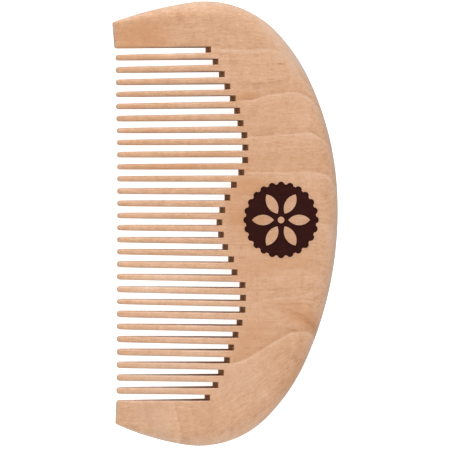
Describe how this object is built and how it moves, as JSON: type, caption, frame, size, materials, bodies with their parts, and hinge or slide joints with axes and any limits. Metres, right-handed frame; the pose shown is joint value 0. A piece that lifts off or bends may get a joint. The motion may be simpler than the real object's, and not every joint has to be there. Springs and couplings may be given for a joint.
{
  "type": "beard comb",
  "caption": "Half-moon wooden beard comb with a rounded back, sawn teeth that taper to thin tips, wide end teeth and a burned round mark on one face.",
  "frame": {"origin": "under the middle of the comb, on the face that it rests on", "axes": "+X from the tooth tips to the rounded back, +Y along the comb's length, +Z out of the marked face"},
  "size_m": [0.0589, 0.1149, 0.01],
  "materials": {
    "wood": "sanded, thin wax",
    "charred_wood": "matte"
  },
  "bodies": {
    "root": {"comb_back": "wood", "teeth": "wood", "end_guards": "wood", "burned_mark": "charred_wood"}
  },
  "joints": []
}
